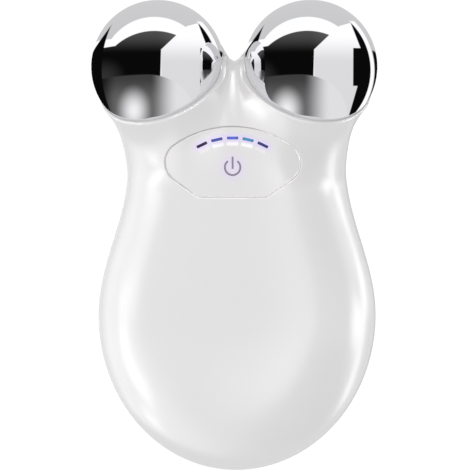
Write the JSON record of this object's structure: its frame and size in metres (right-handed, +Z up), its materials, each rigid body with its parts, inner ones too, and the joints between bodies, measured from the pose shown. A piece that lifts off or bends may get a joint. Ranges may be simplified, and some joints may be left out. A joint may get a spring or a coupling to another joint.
{
  "type": "facial toning device",
  "caption": "Palm-sized microcurrent facial toning device: egg-shaped glossy casing with a pinched waist, flush key plate with light windows, and two chrome ball electrodes in cupped necks.",
  "frame": {"origin": "On the resting surface, under the middle of the device's bounding box. The device lies on its back.", "axes": "+X to the device's right as the key plate is looked at, +Y along the device from the rounded tip towards the two balls, +Z up out of the key plate."},
  "size_m": [0.0704, 0.1156, 0.0455],
  "materials": {
    "casing": "glossy white plastic",
    "back_plate": "satin white plastic",
    "key": "glossy white plastic",
    "electrode": "polished chrome",
    "seal": "dark silicone rubber",
    "screw": "plated steel",
    "terminal": "bright brass",
    "red_lead": "red insulation",
    "black_lead": "black insulation",
    "light_window": "translucent blue plastic",
    "shroud": "matte dark grey plastic",
    "light_chip": "clear resin",
    "switch_base": "matte black plastic",
    "switch_cover": "thin steel sheet",
    "switch_plunger": "matte black plastic",
    "circuit_board": "green solder mask",
    "chip": "black moulded resin",
    "coil": "dark ferrite",
    "capacitor": "plain aluminium can",
    "connector": "ivory plastic",
    "battery": "silver laminate pouch",
    "foam": "grey foam",
    "socket": "bright steel sheet",
    "tongue": "matte black plastic"
  },
  "bodies": {
    "housing": {"front_shell": "casing", "rear_shell": "casing", "back_plate": "back_plate", "left_electrode": "electrode", "right_electrode": "electrode", "electrode_seals": "seal", "electrode_screws": "screw", "ring_terminals": "terminal", "left_electrode_lead": "red_lead", "right_electrode_lead": "black_lead", "light_shroud": "shroud", "indicator_lights": "light_chip", "switch_base": "switch_base", "switch_cover": "switch_cover", "main_board": "circuit_board", "controller_chip": "chip", "step_up_coil": "coil", "output_capacitors": "capacitor", "resistors": "chip", "buzzer": "chip", "battery_connector": "connector", "battery": "battery", "battery_pad": "foam", "battery_leads": "red_lead", "charging_board": "circuit_board", "charger_chip": "chip", "socket_shell": "socket", "socket_tongue": "tongue", "charging_leads": "red_lead", "board_screws": "screw", "charging_board_screws": "screw", "case_screws": "screw"},
    "key": {"power_key": "key", "light_windows": "light_window"},
    "plunger": {"switch_plunger": "switch_plunger"}
  },
  "joints": [
    {"name": "power_key_press", "type": "slide", "parent": "housing", "child": "key", "axis": [0, 0, -1], "range_m": [0, 0.0004], "stiffness_N_per_m": 2000, "springref_m": -0.0002},
    {"name": "switch_plunger_press", "type": "slide", "parent": "housing", "child": "plunger", "axis": [0, 0, -1], "range_m": [0, 0.00045]}
  ],
  "couplings": [
    {"joint": "switch_plunger_press", "follows": "power_key_press", "ratio": 1}
  ]
}
